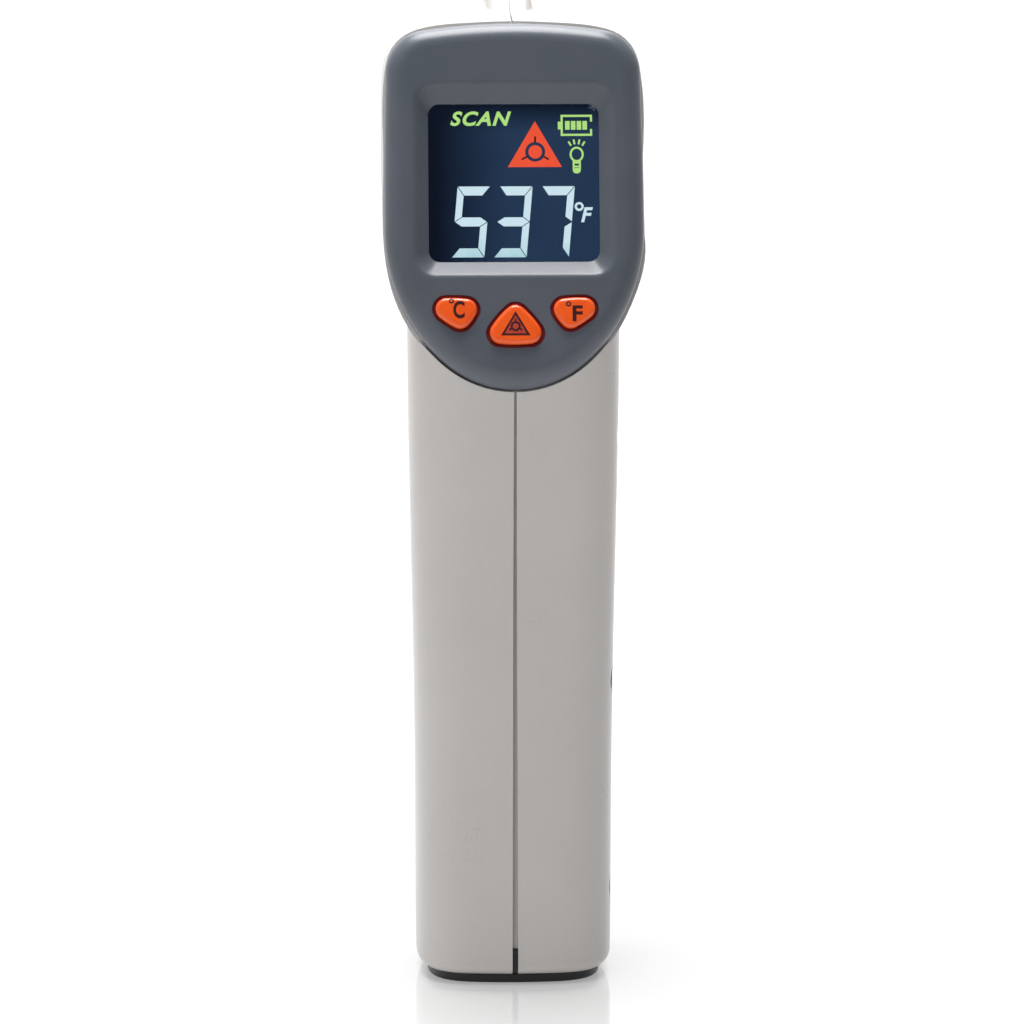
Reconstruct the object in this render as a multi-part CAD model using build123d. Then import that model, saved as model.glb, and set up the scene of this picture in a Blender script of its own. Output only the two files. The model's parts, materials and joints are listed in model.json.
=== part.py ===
from build123d import *
import os
from collections import namedtuple
from math import cos, sin, pi, radians, copysign

# Gun-shaped infrared thermometer, standing on the foot of its grip.
# X is to the right as the user sees it, +Y is the direction it measures in, +Z is up.
# The origin is the centre of the foot's resting face.  All lengths are in millimetres.

os.makedirs("parts", exist_ok=True)

# ---- fits -------------------------------------------------------------------------------------------
WALL = 2.0            # casing wall
LOCATE = 0.25         # gap round parts that locate inside the casing
PARTING = 0.3         # visible gap between parts that open or move
RUN = 0.05            # radial clearance of a pin that something turns on

# ---- head: shield-shaped sections -------------------------------------------------------------------
# A shield outline is five arcs a side: bottom, flank, side, top corner, crown.  The headings, in degrees,
# are the outline's direction at the ends of the flank and of the corner.
Shield = namedtuple(
    "Shield", "half_width height bottom_radius corner_radius flank_from corner_from corner_to"
)
BEZEL = Shield(20.65, 58.9, 17.0, 7.2, 45, 91.7, 171.7)
RIM = Shield(20.75, 59.6, 18.6, 7.4, 50, 91.7, 171.7)
SHOULDER = Shield(20.6, 47.7, 18.0, 8.5, 50, 91.7, 168)
BARREL = Shield(18.4, 39.9, 16.5, 11.0, 48, 95, 162)
NOSE = Shield(14.4, 33.6, 14.0, 22.0, 45, 112, 150)
SHOULDER_AT = (16.0, 105.5)      # Y of the section and Z of its lowest point
BARREL_AT = (40.0, 112.5)
NOSE_AT = (62.0, 116.8)

# ---- display end ------------------------------------------------------------------------------------
TILT = 17.0                      # the display faces this far above the horizontal
FACE_TOP = (0.0, -4.55, 153.74)  # top centre of the bezel's face
BEZEL_RISE = 4.5                 # bezel face above the casing's rim
BEZEL_EDGE = 3.2                 # rounding of the bezel's face
WINDOW = (27.1, 25.4, 1.8, -25.9)     # width, height, corner radius, centre below the face's top
RECESS = (31.6, 31.0, 3.2, -25.6)     # the sloped recess round the window
RECESS_DEPTH = 2.05
WINDOW_FLANGE = (29.5, 27.8, 0.8, -25.9)
LCD = (29.0, 27.2, 0.6, -25.9)
LCD_FRAME = (31.0, 28.8, 1.2, -25.9)
WINDOW_BOSS = (33.6, 32.6, 3.6, -25.7)   # solid stretch of bezel round the window
BOARD_FRONT = -9.2               # main board's front face, measured from the bezel's face
BOARD_THICKNESS = 1.2
BOARD_POSTS = ((-13.6, -42.4), (13.6, -42.4), (-14.0, -8.1), (14.0, -8.1))
POST_RADIUS = 1.5
KEY_CORNER = 1.75
KEY_BULGE = 0.62                 # how far a key's sides bow outwards
KEY_PROUD = 0.9
KEY_TRAVEL = 0.6
KEY_RING = 0.5                   # dark rubber ring round each key
KEY_WALL = 3.3                   # bezel wall round the keys' pocket
SIDE_KEY = ((-14.3, -45.25), (-5.55, -45.25), (-8.5, -49.9))
MIDDLE_KEY = ((-4.95, -51.55), (0.0, -45.35), (4.95, -51.55))
SIDE_SWITCH = (-9.1, -46.5)
MIDDLE_SWITCH = (0.0, -49.4)
SOCKET_DOWN = -50.0              # battery lead socket on the board's inner face
SOCKET_DEPTH = 3.4
LEAD_PITCH = 1.25
LEAD_RADIUS = 0.6
LEAD_Y = -1.0
RIBBON_HALF_WIDTH = 3.5

# ---- grip -------------------------------------------------------------------------------------------
FOOT_HEIGHT = 1.4
GRIP_BLEND = 3.6                 # exponent of the grip's rounded-rectangle section
GRIP_TAPER = 0.12                # how much narrower the section is at the front than at the rear
GRIP_WIDEST = 0.37               # where the section is widest, as a share of its depth from the rear
# Each section: Z, rearmost Y, foremost Y, half width.
GRIP = (
    (FOOT_HEIGHT, -18.4, 20.0, 15.6),
    (30.0, -17.8, 16.8, 15.8),
    (60.0, -17.0, 14.8, 16.2),
    (85.0, -17.6, 15.2, 16.7),
    (104.0, -19.3, 17.0, 16.9),
    (118.0, -20.5, 19.0, 16.9),
)
GRIP_FLOOR = 4.2                 # top of the floor in the grip's foot
NECK_HEIGHT = GRIP_FLOOR - FOOT_HEIGHT + 0.2
SOLE_ROUNDING = 2.4
BEZEL_GAP = 0.35                 # between the bezel's edge and the grip below it
SEAM_DEPTH = 1.1
SEAM_HALF_WIDTH = 0.15
REAR_SEAM = (0.2, 0.45)          # half width of the rear seam under the bezel and at the foot

# ---- raised spine on top of the head ----------------------------------------------------------------
SPINE = ((9.0, 150.0), (17.0, 156.3), (46.0, 156.3), (61.0, 149.0), (61.0, 140.0), (9.0, 140.0))
SPINE_HALF_WIDTH = 3.6
SPINE_ROUNDING = 1.4
SPINE_FOOT = 1.2

# ---- battery door -----------------------------------------------------------------------------------
DOOR_SPLIT = 6.0                 # Y of the joint line down the grip's sides
DOOR_BOTTOM = 8.0
DOOR_TOP = 78.0
HINGE = (18.0, 8.2)              # Y and Z of the door's hinge
KNUCKLE_RADIUS = 1.7
HINGE_PIN_RADIUS = 0.75
DOOR_KNUCKLE = 4.5               # half length of the door's knuckle
EAR = (4.8, 8.0)                 # the casing's hinge ears, along X

# ---- trigger ----------------------------------------------------------------------------------------
PIVOT = (12.5, 110.0)            # Y and Z of the trigger's pivot
PIVOT_PIN_RADIUS = 1.0
TRIGGER_HALF_WIDTH = 6.3
TRIGGER_SPRING_Z = 93.8
SPRING_SEAT = (3.0, 4.6)         # Y of the rib that the trigger spring leans on
SWITCH_Z = 101.5
STRIKER_Y = 8.3                  # back face of the trigger's striker wall

# ---- nose -------------------------------------------------------------------------------------------
LENS_Z = 130.3
LASER_Z = 144.6
FASCIA_FRONT = 74.0
TUBE = (43.0, 66.6, 8.2)         # Y of its ends and radius
LASER_RADIUS = 2.9
CRADLES = ((46.0, 47.5), (55.5, 57.0))   # ribs that hold the sensor tube, along Y

# ---- batteries (AAA) --------------------------------------------------------------------------------
CELL_RADIUS = 5.25
CELL_LENGTH = 44.5
CELL_X = 5.6
CELL_Y = 5.6
TRAY_FLOOR = (12.8, 14.4)        # Z of the tray's floor and, below, of its top wall
TRAY_ROOF = (66.6, 68.2)
PLATE = 0.5                      # contact plate thickness
DIMPLE = 1.0                     # how far a contact's dimple stands out

CASING_SCREWS = ((34.0, 144.0), (32.0, 118.5), (-7.5, 88.0), (-8.5, 48.0), (-8.0, 14.0))   # Y, Z


# ---- helpers ----------------------------------------------------------------------------------------
def stretches(shield, inset, steps):
    """Half a shield outline from its bottom centre to its top centre: one list of points for each arc."""
    half_width = shield.half_width - inset
    height = shield.height - 2 * inset
    bottom = shield.bottom_radius - inset
    corner = shield.corner_radius - inset
    h1, h3, h4 = (radians(a) for a in (shield.flank_from, shield.corner_from, shield.corner_to))
    flank = (half_width - bottom * sin(h1)) / (1 - sin(h1))
    # the side's and the crown's radii close the outline on its width and height
    across = -half_width - corner * (sin(h4) - sin(h3))
    upward = height - bottom * (1 - cos(h1)) - flank * cos(h1) - corner * (cos(h3) - cos(h4))
    spread = (sin(h3) - 1) * (cos(h4) + 1) - sin(h4) * cos(h3)
    side = (across * (cos(h4) + 1) + sin(h4) * upward) / spread
    crown = ((sin(h3) - 1) * upward + cos(h3) * across) / spread
    headings = (0.0, h1, pi / 2, h3, h4, pi)
    radii = (bottom, flank, side, corner, crown)
    x, y = 0.0, inset
    found = []
    for radius, start, end, count in zip(radii, headings, headings[1:], steps):
        arc = []
        for k in range(count + 1):
            a = start + (end - start) * k / count
            arc.append((x + radius * (sin(a) - sin(start)), y + radius * (cos(start) - cos(a))))
        x, y = arc[-1]
        found.append(arc)
    return found


def shield_curve(plane, shield, inset):
    """Shield face whose edge is one smooth closed curve, for lofting.  Its ends meet on the flank."""
    right = [(0.0, inset)]
    for arc in stretches(shield, inset, (2, 2, 2, 3, 2)):
        right += arc[1:]
    loop = right + [(-x, y) for x, y in right[-2:0:-1]]
    start = 4
    loop = loop[start:] + loop[:start]
    return make_face(Spline(*[plane.from_local_coords((x, y, 0)) for x, y in loop], periodic=True))


def shield_arcs(plane, shield, inset):
    """Shield face whose edge is ten true arcs, for flat parts."""
    edges = []
    for side in (1, -1):
        for arc in stretches(shield, inset, (2, 2, 2, 2, 2)):
            edges.append(ThreePointArc(*[plane.from_local_coords((side * x, y, 0)) for x, y in arc]))
    return make_face(edges)


def upright(place):
    """Vertical plane across the head, its origin at the section's lowest point."""
    y, z = place
    return Plane(origin=(0, y, z), x_dir=(1, 0, 0), z_dir=(0, -1, 0))


tilt = radians(TILT)
OUTWARD = Vector(0, -cos(tilt), sin(tilt))
DISPLAY = Plane(origin=FACE_TOP, x_dir=(1, 0, 0), z_dir=OUTWARD)


def display(depth, down=0.0, x=0.0):
    """Plane parallel to the bezel's face; depth is along the outward normal, down is up the face."""
    return Plane(origin=DISPLAY.from_local_coords((x, down, depth)), x_dir=(1, 0, 0), z_dir=OUTWARD)


RIM_PLANE = display(-BEZEL_RISE, -BEZEL.height)


def shield_slab(inset, low, high):
    """Flat shield between two depths, parallel to the bezel's face."""
    face = shield_arcs(display(low, -BEZEL.height), BEZEL, inset)
    return extrude(face, amount=high - low, dir=OUTWARD)


def panel(size, low, high, grow=0.0):
    """Flat rounded rectangle between two depths; size is width, height, corner radius, centre."""
    width, height, radius, centre = size
    outline = RectangleRounded(width + 2 * grow, height + 2 * grow, radius + grow)
    return extrude(display(low, centre) * outline, amount=high - low, dir=OUTWARD)


def peg(x, down, radius, low, high):
    """Cylinder along the display's normal."""
    return extrude(display(low, down, x) * Circle(radius), amount=high - low, dir=OUTWARD)


def block(x, y, z):
    """Box from three (low, high) pairs."""
    size = [high - low for low, high in (x, y, z)]
    centre = [(low + high) / 2 for low, high in (x, y, z)]
    return Pos(*centre) * Box(*size)


def rod_x(y, z, radius, x0, x1):
    """Cylinder along X."""
    return extrude(Plane(origin=(x0, y, z), z_dir=(1, 0, 0)) * Circle(radius), amount=x1 - x0)


def rod_y(x, z, radius, y0, y1):
    """Cylinder along Y."""
    return extrude(Plane(origin=(x, y0, z), z_dir=(0, 1, 0)) * Circle(radius), amount=y1 - y0)


def rod_z(x, y, radius, z0, z1):
    """Cylinder along Z."""
    return Pos(x, y, z0) * extrude(Circle(radius), amount=z1 - z0)


def turned(profile, z):
    """Solid of revolution about the Y-direction axis at height z, from (y, radius) points."""
    plane = Plane(origin=(0, 0, z), x_dir=(0, 1, 0), z_dir=(1, 0, 0))
    return revolve(plane * Polygon(*profile, align=None), Axis((0, 0, z), (0, 1, 0)))


def side_profile(points, half_width):
    """Prism across the object from a (y, z) outline."""
    plane = Plane(origin=(-half_width, 0, 0), x_dir=(0, 1, 0), z_dir=(1, 0, 0))
    return extrude(plane * Polygon(*points, align=None), amount=2 * half_width, dir=(1, 0, 0))


def half_space(side):
    """Everything on one side of the middle plane."""
    return block((0, 60) if side > 0 else (-60, 0), (-60, 120), (-20, 200))


def cut_all(solid, tools):
    for tool in tools:
        solid = solid - tool
    return solid


def fillet_if(solid, edges, radii):
    """The first of the radii that the shape takes."""
    for radius in radii:
        try:
            rounded = fillet(edges, radius)
            if rounded.is_valid and rounded.volume > 0:
                return rounded
        except Exception:
            continue
    print("an edge was left sharp")
    return solid


# ---- outer form -------------------------------------------------------------------------------------
def head(inset):
    return loft([
        shield_curve(RIM_PLANE, RIM, inset),
        shield_curve(upright(SHOULDER_AT), SHOULDER, inset),
        shield_curve(upright(BARREL_AT), BARREL, inset),
        shield_curve(upright(NOSE_AT), NOSE, inset),
    ])


def grip_section(z, rear, front, half_width, inset, points=20):
    middle = (rear + front) / 2
    a = half_width - inset
    b = (front - rear) / 2 - inset
    power = 2 / GRIP_BLEND
    loop = []
    for k in range(points):
        turn = 2 * pi * (k + 0.5) / points
        forward = copysign(abs(sin(turn)) ** power, sin(turn))
        narrowing = 1 - GRIP_TAPER * ((1 + forward) / 2 - GRIP_WIDEST)
        x = a * narrowing * copysign(abs(cos(turn)) ** power, cos(turn))
        loop.append((x, middle + b * forward, z))
    return make_face(Spline(*loop, periodic=True))


def grip(inset):
    return loft([grip_section(*section, inset) for section in GRIP])


def spine(inset):
    """Raised ridge on top of the head, rounded along its top."""
    ridge = side_profile(SPINE, SPINE_HALF_WIDTH - inset)
    if inset:
        return Pos(0, 0, -inset) * ridge & block((-9, 9), (SPINE[0][0] + inset, 60), (130, 160))
    at_side = SPINE_HALF_WIDTH - 0.01
    long_edges = [e for e in ridge.edges() if e.center().Z > 150.5 and abs(e.center().X) > at_side]
    return fillet(long_edges, SPINE_ROUNDING)


def low_on_top(edge):
    """True for the edges where the spine meets the head."""
    box = edge.bounding_box()
    return (
        edge.geom_type == GeomType.BSPLINE and box.min.Y > 11 and box.max.Y < 61.5
        and box.min.Z > 147 and box.max.Z < 155.9 and abs(edge.center().X) < 4.2
    )


def outer_form():
    bezel_room = extrude(shield_arcs(RIM_PLANE, BEZEL, -BEZEL_GAP), amount=25, dir=OUTWARD)
    form = head(0) + (grip(0) - bezel_room)
    sole = [e for e in form.edges() if e.bounding_box().max.Z < FOOT_HEIGHT + 0.1]
    form = fillet(sole, SOLE_ROUNDING) + spine(0)
    return fillet([e for e in form.edges() if low_on_top(e)], SPINE_FOOT)


# ---- casing -----------------------------------------------------------------------------------------
def casing_hollow():
    above_floor = block((-30, 30), (-40, 40), (GRIP_FLOOR, 130))
    return head(WALL) + (grip(WALL) & above_floor)


def seam_groove(core):
    """Thin groove all round the joint of the two halves, wider down the back of the grip."""
    top, foot = REAR_SEAM
    thin = block((-SEAM_HALF_WIDTH, SEAM_HALF_WIDTH), (-30, 80), (-1, 170))
    back = Plane(origin=(0, -30, 0), x_dir=(1, 0, 0), z_dir=(0, -1, 0))
    wedge = Polygon((-foot, FOOT_HEIGHT - 1), (foot, FOOT_HEIGHT - 1), (top, 99), (-top, 99), align=None)
    wide = extrude(back * wedge, amount=22, dir=(0, 1, 0))
    foot_slot = block((-foot, foot), (-30, -14), (0, GRIP_FLOOR + 1.6))
    return (thin + wide - core) + foot_slot


def cradle_ribs(side):
    """Ribs in the nose that hold the sensor tube, and the seat of the trigger's spring."""
    reach = (0, 22) if side > 0 else (-22, 0)
    ribs = block(reach, SPRING_SEAT, (TRIGGER_SPRING_Z - 3.8, TRIGGER_SPRING_Z + 3.8))
    for y0, y1 in CRADLES:
        rib = block(reach, (y0, y1), (112, 149.5))
        rib = rib - rod_y(0, LENS_Z, TUBE[2] + 0.05, y0 - 1, y1 + 1)
        ribs = ribs + (rib - rod_y(0, LASER_Z, LASER_RADIUS + 0.6, y0 - 1, y1 + 1))
    return ribs


def tray_ribs(side):
    """Stops behind the battery tray's flange."""
    reach = (10.6, 22) if side > 0 else (-22, -10.6)
    return block(reach, (-3.2, -1.7), (20, 24)) + block(reach, (-3.2, -1.7), (56, 60))


def casing_half(side, form, hollow, core, groove):
    half = (form - hollow - groove) & half_space(side)
    inside = cradle_ribs(side) + tray_ribs(side)
    for y, z in CASING_SCREWS:
        radius = 3.6 if side > 0 else 2.6
        inside = inside + rod_x(y, z, radius, 0, side * 22)
    inside = inside + rod_x(*PIVOT, 2.8, side * (TRIGGER_HALF_WIDTH + PARTING), side * 22)
    door_height = (DOOR_BOTTOM - PARTING, DOOR_TOP + PARTING)
    door_room = block((-30, 30), (DOOR_SPLIT - PARTING / 2, 40), door_height)
    half = (half + (inside & core) - door_room) + hinge_ears(side)

    openings = [
        rod_x(*HINGE, KNUCKLE_RADIUS + PARTING, -DOOR_KNUCKLE - 0.15, DOOR_KNUCKLE + 0.15),
        rod_x(*HINGE, HINGE_PIN_RADIUS + 0.01, -12, 12),
        block((-TRIGGER_HALF_WIDTH - PARTING, TRIGGER_HALF_WIDTH + PARTING), (9, 22.8), (83.2, 113.2)),
        rod_x(*PIVOT, PIVOT_PIN_RADIUS + 0.01, -13, 13),
        rod_y(0, TRIGGER_SPRING_Z, 2.5, SPRING_SEAT[1] - 0.6, SPRING_SEAT[1] + 1),
        grip_hole(),
        base_neck(-0.15) + base_flange(-0.15),
    ]
    for y, z in CASING_SCREWS:
        if side > 0:
            openings.append(rod_x(y, z, 1.35, -1, 20))
            openings.append(rod_x(y, z, 2.5, 5.4, 30))
        else:
            openings.append(rod_x(y, z, 1.11, -8.4, 1))
    return cut_all(half, openings)


def grip_hole():
    """Opening in the grip's floor that the foot's plug passes through."""
    return extrude(grip_section(*GRIP[0], 5.0), amount=NECK_HEIGHT, dir=(0, 0, 1))


def hinge_ears(side):
    near, far = EAR
    y, z = HINGE
    ear = rod_x(y, z, KNUCKLE_RADIUS, side * near, side * far)
    reach = (near, far) if side > 0 else (-far, -near)
    return ear + block(reach, (y - KNUCKLE_RADIUS, y + KNUCKLE_RADIUS - 0.5), (z - 2.6, z))


# ---- foot -------------------------------------------------------------------------------------------
def base_neck(inset):
    return extrude(grip_section(*GRIP[0], 5.2 + inset), amount=NECK_HEIGHT, dir=(0, 0, 1))


def base_flange(inset):
    face = Pos(0, 0, GRIP_FLOOR - FOOT_HEIGHT - inset) * grip_section(*GRIP[0], 3.2 + inset)
    return extrude(face, amount=1.4 + 2 * inset, dir=(0, 0, 1))


def base_cap(form):
    """Dark foot under the grip, with a plug that the two casing halves trap and a rib up the rear seam."""
    sole = Pos(0, 0, -FOOT_HEIGHT) * grip_section(*GRIP[0], 1.75)
    plate = extrude(sole, amount=FOOT_HEIGHT, dir=(0, 0, 1))
    plate = fillet([e for e in plate.edges() if e.bounding_box().max.Z < 0.1], 0.5)
    cap = plate + base_neck(0) + base_flange(0)
    hollow = Pos(0, 0, 0.4) * grip_section(*GRIP[0], 6.8)
    cap = cap - extrude(hollow, amount=10, dir=(0, 0, 1))
    half_width = REAR_SEAM[1] - 0.05
    rib = block((-half_width, half_width), (-17.95, -14.2), (FOOT_HEIGHT - 0.4, GRIP_FLOOR + 1.5)) & form
    rib_root = block((-half_width, half_width), (-16.2, -14.2), (FOOT_HEIGHT - 0.4, FOOT_HEIGHT + 0.2))
    return cap + rib + rib_root


# ---- display end ------------------------------------------------------------------------------------
def mirrored(points):
    return [(-x, y) for x, y in points]


def spread_corners(corners, grow):
    """A triangle's corners after each side has moved outwards by grow."""
    points = [Vector(x, y) for x, y in corners]
    moved = []
    for k, point in enumerate(points):
        to_next = (points[(k + 1) % 3] - point).normalized()
        to_last = (points[k - 1] - point).normalized()
        half_angle = radians(to_next.get_angle(to_last)) / 2
        moved.append(point - (to_next + to_last).normalized() * (grow / sin(half_angle)))
    return moved


def key_face(corners, grow, depth):
    """Rounded triangle with slightly bulging sides, on a plane parallel to the bezel's face."""
    points = spread_corners(corners, grow)
    middle = (points[0] + points[1] + points[2]) / 3
    edges = []
    for k, start in enumerate(points):
        end = points[(k + 1) % 3]
        bulged = (start + end) / 2
        bulged = bulged + (bulged - middle).normalized() * KEY_BULGE
        edges.append(ThreePointArc(start, bulged, end))
    flat = make_face(edges)
    return display(depth) * fillet(flat.vertices(), KEY_CORNER + grow)


def key_slab(corners, grow, low, high):
    return extrude(key_face(corners, grow, low), amount=high - low, dir=OUTWARD)


KEYS = {
    "celsius": (SIDE_KEY, SIDE_SWITCH),
    "laser": (MIDDLE_KEY, MIDDLE_SWITCH),
    "fahrenheit": (tuple(mirrored(SIDE_KEY)), (-SIDE_SWITCH[0], SIDE_SWITCH[1])),
}


def recess_outline(height):
    """The sloped recess's outline at a height above the bezel's face."""
    share = height / RECESS_DEPTH
    width, tall, corner, down = (rim + (rim - sill) * share for rim, sill in zip(RECESS, WINDOW))
    return display(height, down) * RectangleRounded(width, tall, corner)


def display_bezel():
    bezel = shield_slab(0, -BEZEL_RISE, 0)
    face_edge = [e for e in bezel.edges() if abs(DISPLAY.to_local_coords(e.center()).Z) < 0.01]
    bezel = fillet(face_edge, BEZEL_EDGE)

    bezel = bezel - loft([recess_outline(-RECESS_DEPTH), recess_outline(0.4)]) - panel(WINDOW, -5, -1)
    rim = [
        e for e in bezel.edges()
        if abs(DISPLAY.to_local_coords(e.center()).Z) < 0.01 and abs(e.center().X) < 17
        and abs(DISPLAY.to_local_coords(e.center()).Y - RECESS[3]) < 17
    ]
    bezel = fillet_if(bezel, rim, (1.4, 1.1, 0.8))
    pocket = shield_slab(KEY_WALL, -BEZEL_RISE - 0.1, -2.6) - panel(WINDOW_BOSS, -5, -2)
    bezel = bezel - pocket - panel(WINDOW_FLANGE, -5, -3.1, 0.1)
    for corners, _ in KEYS.values():
        bezel = bezel - key_slab(corners, KEY_RING, -5, 2)

    lip_inset = WALL + LOCATE
    lip_room = shield_slab(lip_inset + 1.0, -8, -BEZEL_RISE + 0.1)
    bezel = bezel + (shield_slab(lip_inset, -7, -BEZEL_RISE) - lip_room)
    for x, down in BOARD_POSTS:
        post = peg(x, down, POST_RADIUS, BOARD_FRONT, -2.4) - peg(x, down, 0.66, BOARD_FRONT - 1, -4)
        bezel = bezel + post
    return bezel


def display_window():
    return panel(WINDOW, -3.2, -RECESS_DEPTH, -0.1) + panel(WINDOW_FLANGE, -4.15, -3.1, -0.02)


def lcd_frame():
    inner = (LCD[0] + 0.2, LCD[1] + 0.2, LCD[2], LCD[3])
    return panel(LCD_FRAME, BOARD_FRONT, -BEZEL_RISE - 0.1) - panel(inner, BOARD_FRONT - 1, -4)


def lcd_panel():
    front_glass = panel(LCD, -5.25, -4.2)
    rear_glass = panel((LCD[0], LCD[1] - 2.4, LCD[2], LCD[3] - 1.2), -6.35, -5.25)
    return front_glass + rear_glass


def backlight():
    return panel((LCD[0] - 0.4, LCD[1] - 2.8, 0.6, LCD[3] - 1.3), -8.95, -6.45)


def lcd_strip():
    """Elastomer strip that joins the glass's ledge to the board."""
    return panel((LCD[0] - 2, 1.9, 0.3, LCD[3] + LCD[1] / 2 - 1.15), BOARD_FRONT, -5.25)


def key_mat():
    mat = shield_slab(KEY_WALL + 0.2, -3.6, -2.7) & panel((40, 14.6, 0.5, -50.0), -4, -2)
    for x, down in BOARD_POSTS[:2]:
        mat = mat - peg(x, down, POST_RADIUS + 0.3, -4, -2)
    for corners, _ in KEYS.values():
        mat = mat + key_slab(corners, KEY_RING - 0.05, -2.8, -0.45)
        mat = mat - key_slab(corners, 0.1, -4, 1)
    return mat


def key(corners, switch):
    cap = key_slab(corners, 0, -3.7, KEY_PROUD)
    top = [e for e in cap.edges() if DISPLAY.to_local_coords(e.center()).Z > KEY_PROUD - 0.01]
    cap = fillet_if(cap, top, (0.75, 0.6, 0.45))
    flange = key_slab(corners, 0.7, -BEZEL_RISE, -3.7) & shield_slab(KEY_WALL + 0.3, -5, -3)
    return cap + flange + peg(*switch, 1.5, -5.5, -BEZEL_RISE)


def tact_switches():
    made = []
    for _, (x, down) in KEYS.values():
        body = extrude(display(BOARD_FRONT, down, x) * Rectangle(6, 6), amount=2.8, dir=OUTWARD)
        upright_edges = [e for e in body.edges() if abs(e.tangent_at(0.5).dot(OUTWARD)) > 0.99]
        made.append(chamfer(upright_edges, 0.9) - peg(x, down, 1.72, -8.8, -6))
    return Compound(children=made)


def plunger(switch):
    return peg(*switch, 1.65, -8.0, -5.6)


def board_outline():
    return shield_slab(4.6, BOARD_FRONT - BOARD_THICKNESS, BOARD_FRONT)


def main_board():
    board = board_outline()
    for x, down in BOARD_POSTS:
        board = board - peg(x, down, 0.9, BOARD_FRONT - 2, BOARD_FRONT + 1)
    return board


def chip(x, down, width, height, thickness):
    low = BOARD_FRONT - BOARD_THICKNESS - thickness
    box = extrude(display(low, down, x) * Rectangle(width, height), amount=thickness, dir=OUTWARD)
    back = [e for e in box.edges() if DISPLAY.to_local_coords(e.center()).Z < low + 0.01]
    return chamfer(back, 0.25)


def board_chips():
    """Processor, memory, regulator and rows of small parts on the board's inner face."""
    made = [chip(-3, -28, 10, 10, 1.4), chip(9, -20, 5, 4, 1.3), chip(-10, -40, 3, 3, 1.1)]
    for k in range(5):
        made.append(chip(-12 + 2.6 * k, -15, 1.2, 2.0, 0.7))
        made.append(chip(7 + 1.9 * k, -28, 1.0, 1.8, 0.6))
    return Compound(children=made)


def lead_socket():
    """Two-way socket for the battery leads."""
    low = BOARD_FRONT - BOARD_THICKNESS - SOCKET_DEPTH
    body = extrude(display(low, SOCKET_DOWN) * Rectangle(8, 4.6), amount=SOCKET_DEPTH, dir=OUTWARD)
    for x in (-LEAD_PITCH, LEAD_PITCH):
        body = body - peg(x, SOCKET_DOWN, LEAD_RADIUS + 0.02, low - 1, low + 1.6)
    return body


def buzzer():
    low = BOARD_FRONT - BOARD_THICKNESS - 4.0
    can = peg(8, -38, 4.5, low, low + 4.0)
    rear = [e for e in can.edges() if DISPLAY.to_local_coords(e.center()).Z < low + 0.01 and e.length > 20]
    return fillet(rear, 0.4) - peg(8, -38, 0.9, low - 1, low + 0.8)


def board_screw(x, down, low):
    """Board screw whose head's back is at the given depth."""
    head_part = peg(x, down, 1.35, low, low + 1.2)
    slots = Rectangle(1.7, 0.4) + Rectangle(0.4, 1.7)
    cross = extrude(display(low, down, x) * slots, amount=0.6, dir=OUTWARD)
    return head_part - cross + peg(x, down, 0.65, low + 1.2, low + 6.2)


def board_screws():
    low = BOARD_FRONT - BOARD_THICKNESS - 1.2
    return Compound(children=[board_screw(x, down, low) for x, down in BOARD_POSTS])


# ---- nose -------------------------------------------------------------------------------------------
def nose_slab(inset, y0, y1):
    face = shield_arcs(upright((y0, NOSE_AT[1])), NOSE, inset)
    return extrude(face, amount=y1 - y0, dir=(0, 1, 0))


def nose_fascia():
    start = NOSE_AT[0]
    cap = nose_slab(0.25, start, FASCIA_FRONT)
    front = [e for e in cap.edges() if e.bounding_box().min.Y > FASCIA_FRONT - 0.1]
    cap = fillet_if(cap, front, (3.2, 2.6, 2.0))
    cap = cap - nose_slab(2.4, start - 1, FASCIA_FRONT - 3.2)
    lip = nose_slab(WALL + 0.4, start - 4.0, start + 1) - nose_slab(WALL + 1.4, start - 6, start + 2)
    cap = cap + lip
    lens_y = TUBE[1]
    hood_front = FASCIA_FRONT - 1
    hood = turned([(start - 1, 0), (start - 1, 10.4), (hood_front, 11.2), (hood_front, 0)], LENS_Z)
    sleeve = rod_y(0, LASER_Z, LASER_RADIUS + 1.1, start - 1, hood_front)
    cap = cap + ((hood + sleeve) & nose_slab(0.8, start - 2, FASCIA_FRONT - 0.5))
    cap = cap - rod_y(0, LENS_Z, TUBE[2] + 0.3, start - 6, lens_y + 1.1)
    mouth = FASCIA_FRONT + 0.2
    cap = cap - turned([(lens_y, 0), (lens_y, 7.0), (lens_y + 1.9, 7.0), (mouth, 9.7), (mouth, 0)], LENS_Z)
    cap = cap - rod_y(0, LASER_Z, LASER_RADIUS + 0.1, start - 6, 70.9)
    return cap - turned([(60, 0), (60, 1.9), (72.2, 1.9), (mouth, 2.6), (mouth, 0)], LASER_Z)


def sensor_tube():
    y0, y1, radius = TUBE
    outside = [(y0, 0), (y0, radius), (y1, radius), (y1, 0)]
    sensor_end = [(y0 - 1, 0), (y0 - 1, 4.25), (y0 + 3, 4.25), (y0 + 3, 3.3), (y0 + 5, 3.6)]
    lens_end = [(60, 7.0), (y1 + 1, 7.0), (y1 + 1, 0)]
    tube = turned(outside, LENS_Z) - turned(sensor_end + lens_end, LENS_Z)
    return tube - rod_y(0, LENS_Z, 7.62, y1 - 1.0, y1 + 1)


def ir_lens():
    """Thin plastic lens with concentric steps on its front."""
    y1 = TUBE[1]
    disc = rod_y(0, LENS_Z, 7.55, y1 - 0.95, y1 - 0.1)
    for k in range(6):
        near, far = 1.55 + k, 1.8 + k
        disc = disc - turned([(y1 - 0.3, near), (y1 + 1, near), (y1 + 1, far), (y1 - 0.1, far)], LENS_Z)
    return disc


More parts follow.
